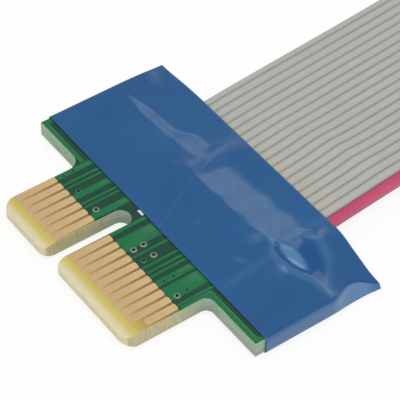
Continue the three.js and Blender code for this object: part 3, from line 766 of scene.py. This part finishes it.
class RISER_OT_plug_board(BuildStep, bpy.types.Operator):
    """Builds the plug board with its key notch, rounded corners and ground nose"""

    bl_idname = "riser.plug_board"
    bl_label = "Plug board"

    def build(self, scene):
        settings = scene.riser_board
        bm = bmesh.new()
        add_prism(bm, tongue_outline(), 0, BOARD_THICKNESS, segments=14)
        bmesh.ops.remove_doubles(bm, verts=bm.verts, dist=1e-3)
        middle = BOARD_THICKNESS / 2
        for side in (-1, 1):
            normal = Vector((0, -(BOARD_THICKNESS - NOSE_HEIGHT) / 2, side * NOSE_BEVEL))
            cut = bmesh.ops.bisect_plane(
                bm, geom=bm.verts[:] + bm.edges[:] + bm.faces[:], dist=1e-5,
                plane_co=(0, 0, middle + side * NOSE_HEIGHT / 2), plane_no=normal.normalized(),
                clear_outer=True)["geom_cut"]
            bmesh.ops.holes_fill(bm, edges=[e for e in cut if isinstance(e, bmesh.types.BMEdge)])
        bmesh.ops.recalc_face_normals(bm, faces=bm.faces)
        rims = [
            e for e in bm.edges if len(e.link_faces) == 2
            and e.calc_face_angle(0) > math.radians(50)
            and abs(e.verts[0].co.z - e.verts[1].co.z) < 1e-4]
        bmesh.ops.bevel(
            bm, geom=rims, offset=0.05, segments=2, profile=0.5, affect="EDGES", material=-1)
        for face in bm.faces:
            face.normal_update()
            if face.normal.y < -0.5 and face.calc_center_median().y < 0.4:
                face.material_index = 2
            elif abs(face.normal.z) > 0.98:
                face.material_index = 0
            elif abs(face.normal.z) > 0.5 and face.calc_center_median().y < NOSE_BEVEL:
                face.material_index = 2
            else:
                face.material_index = 1
        finish_piece(
            bm, "plug_board_laminate", PLUG_FRAME,
            board_face(settings, "Green mask over laminate, plug", DATUM, 0, True),
            routed_laminate(settings), ground_nose(), slot="board",
            smooth_angle=35, replaces=["plug_board"])


class RISER_OT_fingers(BuildStep, bpy.types.Operator):
    """Builds the gold-plated edge contacts on both faces of the plug"""

    bl_idname = "riser.fingers"
    bl_label = "Edge contacts"

    def build(self, scene):
        settings = scene.riser_board
        gold = gold_plating("Hard gold on nickel", settings.gold, DATUM, 0, metallic=0.45)
        half = settings.finger_width / 2
        for on_top, name, short in (
                (True, "top", TOP_SHORT_FINGER), (False, "under", UNDERSIDE_SHORT_FINGER)):
            bm = bmesh.new()
            for i in range(CONTACTS):
                x = contact_position(i)
                front = SHORT_FINGER_FRONT if i == short else FINGER_FRONT
                add_prism(
                    bm, rectangle(x - half, x + half, front, FINGER_REAR, (0.26, 0.26, 0.17, 0.12)),
                    0, FINGER_THICKNESS, segments=5, chamfer=0.02)
            onto_face(bm, on_top)
            finish_piece(
                bm, "edge_contacts_" + name, PLUG_FRAME, gold, slot="contact", smooth_angle=15)


# Copper under the mask on the plug's top face, as x from, x to, y from, y to, then narrow
# traces as x from, x to, with one pair of ends, and the vias' middles
POURS = (
    (-7.84, -7.22, 5.78, 9.7), (-4.95, -4.22, 5.78, 9.7), (-1.96, -1.24, 5.78, 9.7),
    (2.06, 3.76, 5.78, 9.7), (8.08, 8.82, 5.78, 9.8), (9.12, 10.82, 5.78, 9.8),
)
TRACES = (
    (-6.55, -6.28), (-5.98, -5.74), (-3.6, -3.34), (-3.08, -2.84), (4.5, 4.78),
    (6.08, 6.34), (6.76, 7.02), (7.3, 7.58), (1.04, 1.46), (11.36, 11.66),
)
TRACE_ENDS = (5.8, 9.75)
PRINTED_MARK = (0.13, 0.86, 9.47, 9.7)
OPEN_VIAS = ((-2.15, 6.52), (3.85, 7.55), (3.89, 6.46), (5.42, 7.57), (10.56, 6.45))
FAINT_VIAS = ((-5.05, 6.52), (5.45, 6.47))
TENTED_VIAS = ((-7.45, 7.6), (-7.4, 6.5), (8.52, 7.55), (8.52, 6.47), (10.5, 7.55))


class RISER_OT_copper(BuildStep, bpy.types.Operator):
    """Builds the copper under the mask, the vias and the printed mark"""

    bl_idname = "riser.copper"
    bl_label = "Copper and vias"

    def build(self, scene):
        settings = scene.riser_board
        bright = mask_over_copper(settings, DATUM, 0)
        for on_top, name in FACES:
            bm = bmesh.new()
            shoulder = 9.16
            for x0, x1, y0, y1 in POURS:
                add_prism(
                    bm, rectangle(x0, x1, y0, y1, (0.1, 0.1, 0, 0)), 0, COPPER_THICKNESS,
                    segments=3, chamfer=0.02)
            for x0, x1 in TRACES:
                add_prism(bm, rectangle(x0, x1, *TRACE_ENDS), 0, 0.045, chamfer=0.03)
            add_prism(bm, [
                (-SHORT_SIDE + 0.06, TONGUE_LENGTH + 0.06, 0.1), (-7.95, TONGUE_LENGTH + 0.06, 0),
                (-7.95, shoulder, 0), (-13.95, shoulder, 0.1), (-13.95, 10.4, 0),
                (-SHORT_SIDE + 0.06, 10.4, 0)], 0, COPPER_THICKNESS, segments=3, chamfer=0.02)
            add_prism(bm, [
                (11.72, 5.85, 0), (TONGUE_HIGH - 0.06, 5.85, 0),
                (TONGUE_HIGH - 0.06, TONGUE_LENGTH + 0.06, 0.8),
                (LONG_SIDE - 0.06, TONGUE_LENGTH + 0.06, 0.1), (LONG_SIDE - 0.06, 10.4, 0),
                (18.45, 10.4, 0), (18.45, shoulder + 0.12, 0.1), (11.72, shoulder + 0.12, 0)],
                0, COPPER_THICKNESS, segments=5, chamfer=0.02)
            onto_face(bm, on_top)
            finish_piece(bm, "copper_under_mask_" + name, PLUG_FRAME, bright, slot="board")
        pad = plain_ink("Tinned via rim under mask", "84927a", 0.35)
        faint = plain_ink("Tented via rim", "2f6a4b", 0.35)
        hole = plain_ink("Drilled hole in shade", "070a07", 0.8)
        for on_top, name in FACES:
            bm = bmesh.new()
            for vias, high, rim, top_rim, drill, finish in (
                    (OPEN_VIAS, 0.06, 0.33, 0.27, 0.17, 0), (FAINT_VIAS, 0.05, 0.3, 0.24, 0.15, 1),
                    (TENTED_VIAS, 0.04, 0.22, 0.18, 0.11, 1)):
                for x, y in vias:
                    add_disc(bm, x, y, 0, high, rim, top_rim, material=finish)
                    add_disc(bm, x, y, 0.01, high + 0.006, drill, material=2)
            onto_face(bm, on_top)
            finish_piece(bm, "vias_" + name, PLUG_FRAME, pad, faint, hole, slot="board")
        bm = bmesh.new()
        add_prism(bm, rectangle(*PRINTED_MARK, (0.04,) * 4), 0, 0.03, segments=2)
        onto_face(bm, True)
        finish_piece(
            bm, "printed_mark", PLUG_FRAME, plain_ink("White legend ink", "e9eef2", 0.5),
            slot="board")


def plain_tape_height(x, y, falls):
    """How far a plain band stands off its flat height at a place of its face."""
    beside = smoothstep(RIBBON_HALF + 0.78, RIBBON_HALF + 2.98, abs(x))
    behind = clamp(y / TAPE_REAR)
    over = SOLDER_HEIGHT * smoothstep(-4.6, -3.26, y)
    over += (0.15 - over) * behind
    drop = -0.45 * behind * behind if falls else 0.0
    return over + (drop - over) * beside


def leans_back(px, py):
    """Where the plug's tape runs down steeply from the solder row to the cable, 0 to 1."""
    low = 15.7 + 0.06 * px + 0.12 * math.sin(2.1 * px)
    high = 19.2 + 0.1 * px + 0.1 * math.sin(1.3 * px + 1)
    left = smoothstep(-0.8, 0.4, px + 0.17 * (py - 18))
    right = 1 - smoothstep(11.3, 13.0, px)
    wide = smoothstep(low - 0.3, low + 0.3, py) * (
        1 - smoothstep(high - 0.7, high + 0.7, py)) * left * right
    swell = smoothstep(-5.9, -4.3, px)
    middle = 17.45 + 0.03 * (px + 9) + 0.65 * swell
    half = 0.1 + 0.38 * smoothstep(-12.4, -9.5, px) + 0.5 * swell
    thin = (1 - smoothstep(half - 0.25, half + 0.35, abs(py - middle))) * smoothstep(
        -12.9, -12.2, px) * (1 - smoothstep(-2.3, -1.2, px + 0.2 * (py - 18)))
    return max(wide, thin)


def plug_tape_heights(x, places):
    """How far the plug's band stands off its flat height, along one line of its top face.
    Its slopes add up from the crest over the solder row to the rear edge."""
    px = x + PLUG_CENTRE
    beside = smoothstep(RIBBON_HALF + 0.6, RIBBON_HALF + 3.2, x)
    level = clamp((px + 14.6) / 13.6) * (1 - 0.9 * beside)
    crest = CREST_HEIGHT * level
    rear = 0.29 * smoothstep(-14.4, -8.0, px) * (1 - beside)
    step = places[1] - places[0]
    shares = [leans_back(px, y + PLUG_BOARD_DEPTH) if y > CREST_PLACE else 0.0 for y in places]
    run = sum(step for y in places if y > CREST_PLACE)
    steep_run = sum(shares) * step
    gentle = (crest - rear - STEEP * steep_run) / max(0.5, run - steep_run)
    heights = []
    height = crest
    for y, share in zip(places, shares):
        if y <= CREST_PLACE:
            t = clamp((y + 6.8) / (CREST_PLACE + 6.8))
            height = crest * (0.85 * t + 0.15 * smoothstep(0, 1, t))
        else:
            height -= step * (STEEP * share + gentle * (1 - share))
        heights.append(height)
    far_right = smoothstep(RIBBON_HALF + 0.3, TAPE_HALF, x) ** 1.2
    far_left = smoothstep(RIBBON_HALF + 0.3, TAPE_HALF, -x) ** 2
    for k, y in enumerate(places):
        py = y + PLUG_BOARD_DEPTH
        extra = 0.0
        extra -= 1.42 * far_right * clamp((y + 0.4) / 5.2) ** 1.15
        extra -= 0.12 * far_left * smoothstep(2.0, 5.2, y)
        extra += 0.1 * hill(px, py, (13.35, 17.05), 2.1, 0.72, 8, 4.0)
        extra -= 0.1 * beside_line(px, py, BUBBLE_CREASE, 0.22)
        extra -= 0.08 * hill(px, py, (14.3, 18.6), 1.8, 0.9, -12, 2.6)
        extra += 0.035 * beside_line(px, py, LOWER_FOLD, 0.45)
        extra += 0.05 * beside_line(px, py, UPPER_FOLD, 0.6)
        extra += 0.014 * noise.noise(Vector((px * 0.5, py * 0.8, 3.1)))
        heights[k] += extra
    return heights


def beside_line(px, py, line, width):
    """1 on a line of points, falling off smoothly to 0 at about twice the width beside it."""
    here = Vector((px, py))
    nearest = 1e9
    for a, b in zip(line, line[1:]):
        start = Vector(a)
        span = Vector(b) - start
        t = clamp((here - start).dot(span) / span.length_squared)
        nearest = min(nearest, (here - start - span * t).length)
    return math.exp(-((nearest / width) ** 3))


def tape_haze_light_and_shade(px, py):
    """How much paler or darker the plug's tape is painted: paler partly for haze, where light from
    under film that isn't pressed down makes it paler, and partly as painted highlights on its
    slopes, folds and bubble; darker as painted shade in the crease and the hollow behind the
    bubble.
    """
    # Painted highlight on the steep slope behind the solder row
    share = 0.1 * leans_back(px, py)
    # Painted highlights along the folds, partly haze of the loose film there
    share += 0.26 * beside_line(px, py, LOWER_FOLD, 0.42)
    share += 0.2 * beside_line(px, py, UPPER_FOLD, 0.6)
    for paleness, *spot in LOOSE_AND_PAINTED_HIGHLIGHT_SPOTS:
        share += paleness * hill(px, py, *spot)
    # Painted shade in the crease round the bubble and in the hollow behind it
    share -= 1.3 * beside_line(px, py, BUBBLE_CREASE, 0.16)
    share -= 1.1 * hill(px, py, (14.1, 18.55), 2.1, 0.95, -14, 4.5) * (1 - share)
    return max(-1.0, min(1.0, share))


def flank_painted_light_and_shade(column, y):
    """The same on the tape's right side: painted shade along the pressed fold, and a painted
    reflection on the flank where it hangs loose.
    """
    # Painted shade along the fold
    if column < 2:
        return -0.9
    # Painted reflection: a paler flank where it hangs loose
    loose = smoothstep(-0.9, 1.0, y) * (1 - smoothstep(3.4, 4.8, y))
    return 0.2 + 0.4 * loose


def flank_lean(y):
    """How far the top of the plug tape's right flank leans in where it hangs loose."""
    return 1.25 * smoothstep(-0.6, 2.6, y) * (1 - 0.7 * smoothstep(3.0, 5.0, y))


def tape_places(rows):
    return [TAPE_FRONT + TAPE_LENGTH * k / rows for k in range(rows + 1)]


def tape_section(per_mm):
    """Outline points round a band as (across, height), and how many of them lie on top."""
    corner = 0.4
    arc = 5
    low, high = TAPE_LOW, TAPE_HIGH
    inner = TAPE_HALF - corner
    count = round(2 * inner * per_mm)
    level = [-inner + 2 * inner * k / count for k in range(count + 1)]
    turns = [math.pi / 2 * k / arc for k in range(1, arc)]
    side = [(inner + corner * math.sin(a), high - corner + corner * math.cos(a)) for a in turns]
    side += [
        (TAPE_HALF, high - corner + (low - high + 2 * corner) * k / 6) for k in range(7)]
    side += [(inner + corner * math.cos(a), low + corner - corner * math.sin(a)) for a in turns]
    section = [(x, high) for x in level] + side
    section += [(x, low) for x in reversed(level)] + [(-x, z) for x, z in reversed(side)]
    return section, count + 1


def add_tape_band(plug):
    """A band of tape round a board and its ribbons, as a tube open at its two ends."""
    section, top_count = tape_section(4.0 if plug else 1.5)
    rows = PLUG_TAPE_ROWS if plug else SOCKET_TAPE_ROWS
    places = tape_places(rows)
    tops = []
    for x, _ in section:
        if plug:
            tops.append(plug_tape_heights(x, places))
        else:
            tops.append([plain_tape_height(x, y, True) for y in places])
    bm = bmesh.new()
    haze_and_painted_light = bm.verts.layers.float.new("haze_and_painted_light")
    for v, column, row in grid_places(bm, len(section), rows):
        column %= len(section)
        x, z = section[column]
        y = places[row]
        share = (z - TAPE_LOW) / (TAPE_HIGH - TAPE_LOW)
        z += tops[column][row] * share - plain_tape_height(x, y, False) * (1 - share)
        inset = 0.0
        if abs(x) > TAPE_HALF - 0.45:
            lean = 0.12 * smoothstep(0, TAPE_REAR, y)
            if plug and x > 0:
                lean = flank_lean(y)
            inset = lean * share ** 0.7 if share > 0 else 0.0
        elif plug and x > 0:
            inset = smoothstep(RIBBON_HALF + 1, TAPE_HALF, x) * share * flank_lean(y)
        v.co = (x - math.copysign(inset, x), y, z)
        # Painted highlights, reflections and shade on the plug tape's top and right side, with haze
        # where its film is loose
        if plug and column < top_count:
            v[haze_and_painted_light] = tape_haze_light_and_shade(x + PLUG_CENTRE, y + PLUG_BOARD_DEPTH)
        elif plug and column < top_count + SIDE_COLUMNS:
            v[haze_and_painted_light] = flank_painted_light_and_shade(column - top_count, y)
    bmesh.ops.remove_doubles(bm, verts=bm.verts, dist=1e-4)
    return bm


class RISER_OT_tapes(BuildStep, bpy.types.Operator):
    """Winds the blue tape round both boards where the flat cables are soldered on"""

    bl_idname = "riser.tapes"
    bl_label = "Tape bands"

    def build(self, scene):
        settings = scene.riser_tape
        socket_origin = SOCKET_FRAME.translation
        for plug, name, node in ((True, "plug", "plug_tape"), (False, "socket", "socket_tape")):
            bm = add_tape_band(plug)
            if plug:
                where = PLUG_FRAME @ Matrix.Translation((PLUG_CENTRE, PLUG_BOARD_DEPTH, 0))
                finish = blue_tape(settings, DATUM, 0)
            else:
                where = SOCKET_FRAME @ Matrix.Rotation(math.pi, 4, "Z")
                finish = blue_tape(settings, socket_origin, RIBBON_SKEW)
            piece = finish_piece(
                bm, "tape_band_" + name, where, finish, slot="tape", smooth_angle=60,
                replaces=[node])
            solid = piece.modifiers.new("thickness", "SOLIDIFY")
            solid.thickness = settings.thickness
            solid.offset = -1
        self.seam()

    @staticmethod
    def seam():
        """The tape's cut end, a thin raised line across the top of the plug's band."""
        bm = bmesh.new()
        points = []
        for (ax, ay), (bx, by) in zip(SEAM, SEAM[1:]):
            for k in range(8):
                points.append((ax + (bx - ax) * k / 8, ay + (by - ay) * k / 8))
        points.append(SEAM[-1])
        rails = []
        places = tape_places(PLUG_TAPE_ROWS)
        for side in (-1, 1):
            rail = []
            for x, y in points:
                row = round((y - PLUG_BOARD_DEPTH - TAPE_FRONT) / TAPE_LENGTH * PLUG_TAPE_ROWS)
                heights = plug_tape_heights(x - PLUG_CENTRE, places)
                z = TAPE_HIGH + heights[min(PLUG_TAPE_ROWS, max(0, row))] + 0.025
                half = 0.022 + 0.03 * smoothstep(16.5, 18.0, y) * (1 - smoothstep(20.2, 20.8, y))
                rail.append(bm.verts.new((x + side * half, y, z)))
            rails.append(rail)
        for k in range(len(points) - 1):
            bm.faces.new((rails[0][k], rails[0][k + 1], rails[1][k + 1], rails[1][k]))
        made = bmesh.ops.extrude_face_region(bm, geom=bm.faces[:])["geom"]
        bmesh.ops.translate(
            bm, vec=(0, 0, -0.05), verts=[v for v in made if isinstance(v, bmesh.types.BMVert)])
        # The cut end is painted a paler blue than the tape, a painted highlight along its edge
        finish_piece(
            bm, "tape_cut_end", PLUG_FRAME, plain_ink("Cut edge of the tape", "4f739f", 0.4),
            slot="tape", smooth_angle=60)


class RISER_OT_socket_board(BuildStep, bpy.types.Operator):
    """Finishes the slot's board: mask, copper, pads and solder joints"""

    bl_idname = "riser.socket_board"
    bl_label = "Slot board"

    def build(self, scene):
        settings = scene.riser_board
        origin = SOCKET_FRAME.translation
        mask = board_face(
            settings, "Green mask over laminate, slot", origin, RIBBON_SKEW, False)
        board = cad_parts["socket_board"]
        board.data.materials.clear()
        board.data.materials.append(mask)
        bright = mask_over_copper(settings, origin, RIBBON_SKEW)
        tin = solder(origin, RIBBON_SKEW)
        outer = (LONG_SIDE + SHORT_SIDE) / 2 - 0.4
        inner, front, rear = 13.4, 7.9, 17.2
        for on_top, name in FACES:
            bm = bmesh.new()
            for sign in (-1, 1):
                x0, x1 = sorted((sign * outer, sign * inner))
                add_prism(
                    bm, rectangle(x0, x1, front, rear, (0.3,) * 4), 0, COPPER_THICKNESS,
                    segments=3, chamfer=0.02)
            for i in range(CONTACTS):
                x = contact_position(i) - SLOT_MIDDLE
                reach = 10.3 if i % 2 else 9.1
                add_prism(
                    bm, rectangle(x - 0.16, x + 0.16, 7.2, reach), 0, COPPER_THICKNESS,
                    chamfer=0.02)
            onto_face(bm, on_top)
            finish_piece(
                bm, "slot_board_copper_" + name, SOCKET_FRAME, bright, slot="board")
        bm = bmesh.new()
        for side in (-1, 1):
            for i in range(CONTACTS):
                x = contact_position(i) - SLOT_MIDDLE
                near_line = (i % 2 == 0) == (side > 0)
                y = SLOT_LINE + side * (1.3 if near_line else 2.75)
                add_disc(bm, x, y, -0.42, -0.03, 0.27, 0.42, segments=14)
                add_disc(bm, x, y, -0.04, 0.0, 0.46, segments=18)
        finish_piece(bm, "slot_solder_joints", SOCKET_FRAME, tin, slot="contact")


class RISER_OT_slot(BuildStep, bpy.types.Operator):
    """Finishes the moulded slot and its spring contacts"""

    bl_idname = "riser.slot"
    bl_label = "Slot and contacts"

    def build(self, scene):
        settings = scene.riser_slot
        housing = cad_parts["slot_housing"]
        housing.data.materials.clear()
        housing.data.materials.append(moulded_black(settings))
        spring = gold_plating(
            "Gold flash on bronze", settings.contact, SOCKET_FRAME.translation, RIBBON_SKEW, 0.3)
        for name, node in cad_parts.items():
            if name.startswith("contact_"):
                node.data.materials.clear()
                node.data.materials.append(spring)


class RISER_OT_stage(BuildStep, bpy.types.Operator):
    """Sets up the pale floor, the soft studio lights and the view settings"""

    bl_idname = "riser.stage"
    bl_label = "Stage"

    def build(self, scene):
        settings = scene.riser_stage
        scene.view_settings.view_transform = "Standard"
        self.world(scene, settings)
        self.floor(settings)
        self.light("key_light", *KEY_LIGHT, settings.key_power)
        self.light("back_light", *BACK_LIGHT, settings.rim_power)

    @staticmethod
    def world(scene, settings):
        world = bpy.data.worlds.new("studio")
        scene.world = world
        world.use_nodes = True
        tree = world.node_tree
        background = tree.nodes["Background"]
        background.inputs["Color"].default_value = (1, 1, 1, 1)
        path = add_node(tree, "LightPath")
        shown = add_node(tree, "Math", {
            0: path.outputs["Is Camera Ray"], 1: path.outputs["Is Transmission Ray"]},
            operation="MAXIMUM").outputs[0]
        even = add_node(tree, "MapRange", {
            "Value": shown, "To Min": settings.ambient, "To Max": 1.0}).outputs[0]
        towards = add_node(tree, "VectorMath", {
            0: add_node(tree, "TexCoord").outputs["Generated"], 1: FLAG_DIRECTION},
            operation="DOT_PRODUCT").outputs["Value"]
        room = add_node(tree, "MapRange", {
            "Value": towards, "From Min": 0.45, "From Max": 0.8,
            "To Min": 1.0, "To Max": settings.flag}).outputs[0]
        strength = add_node(tree, "Mix", {
            0: path.outputs["Is Glossy Ray"], 2: even, 3: room}).outputs[0]
        tree.links.new(strength, background.inputs["Strength"])

    @staticmethod
    def floor(settings):
        bm = bmesh.new()
        bmesh.ops.create_grid(bm, x_segments=1, y_segments=1, size=FLOOR_HALF)
        mesh = bpy.data.meshes.new("floor")
        bm.to_mesh(mesh)
        bm.free()
        material, tree, shader = new_material(
            "Matt white paper", Roughness=0.9, Base_Color=rgba(settings.floor))
        path = add_node(tree, "LightPath")
        shown = add_node(tree, "Math", {
            0: path.outputs["Is Camera Ray"], 1: path.outputs["Is Glossy Ray"]},
            operation="MAXIMUM").outputs[0]
        share = add_node(tree, "Math", {0: shown, 1: FLOOR_GLOW}, operation="MULTIPLY").outputs[0]
        glow = add_node(tree, "Emission", {"Color": (1, 1, 1, 1), "Strength": 1.0})
        mixed = add_node(tree, "MixShader", {
            0: share, 1: shader.outputs[0], 2: glow.outputs[0]})
        tree.links.new(
            mixed.outputs[0], tree.nodes["Material Output"].inputs["Surface"])
        mesh.materials.append(material)
        floor = bpy.data.objects.new("floor", mesh)
        bpy.context.scene.collection.objects.link(floor)

    @staticmethod
    def light(name, place, target, width, height, power):
        data = bpy.data.lights.new(name, "AREA")
        data.shape = "RECTANGLE"
        data.size = width
        data.size_y = height
        data.energy = power
        lamp = bpy.data.objects.new(name, data)
        lamp.location = place
        direction = Vector(target) - Vector(place)
        lamp.rotation_euler = direction.to_track_quat("-Z", "Y").to_euler()
        bpy.context.scene.collection.objects.link(lamp)


class RISER_PT_panel(bpy.types.Panel):
    """The pieces of the riser cable, in building order"""

    bl_idname = "RISER_PT_panel"
    bl_label = "Riser cable"
    bl_space_type = "VIEW_3D"
    bl_region_type = "UI"
    bl_category = "Riser"

    def draw(self, context):
        for group in SETTINGS:
            box = self.layout.box()
            settings = getattr(context.scene, group)
            for name in SETTINGS[group].__annotations__:
                box.prop(settings, name)
        for operator in OPERATORS:
            self.layout.operator(operator.bl_idname)


SETTINGS = {
    "riser_board": RiserBoardSettings,
    "riser_tape": RiserTapeSettings,
    "riser_ribbon": RiserRibbonSettings,
    "riser_slot": RiserSlotSettings,
    "riser_stage": RiserStageSettings,
}
OPERATORS = (
    RISER_OT_camera, RISER_OT_ribbons, RISER_OT_plug_board, RISER_OT_fingers, RISER_OT_copper,
    RISER_OT_tapes, RISER_OT_socket_board, RISER_OT_slot, RISER_OT_stage,
)


def register():
    for group, settings in SETTINGS.items():
        bpy.utils.register_class(settings)
        setattr(bpy.types.Scene, group, bpy.props.PointerProperty(type=settings))
    for operator in OPERATORS:
        bpy.utils.register_class(operator)
    bpy.utils.register_class(RISER_PT_panel)


def unregister():
    bpy.utils.unregister_class(RISER_PT_panel)
    for operator in reversed(OPERATORS):
        bpy.utils.unregister_class(operator)
    for group, settings in SETTINGS.items():
        delattr(bpy.types.Scene, group)
        bpy.utils.unregister_class(settings)


def main():
    register()
    bpy.ops.riser.camera()
    bpy.ops.riser.ribbons()
    bpy.ops.riser.plug_board()
    bpy.ops.riser.fingers()
    bpy.ops.riser.copper()
    bpy.ops.riser.tapes()
    bpy.ops.riser.socket_board()
    bpy.ops.riser.slot()
    bpy.ops.riser.stage()


if __name__ == "__main__":
    main()
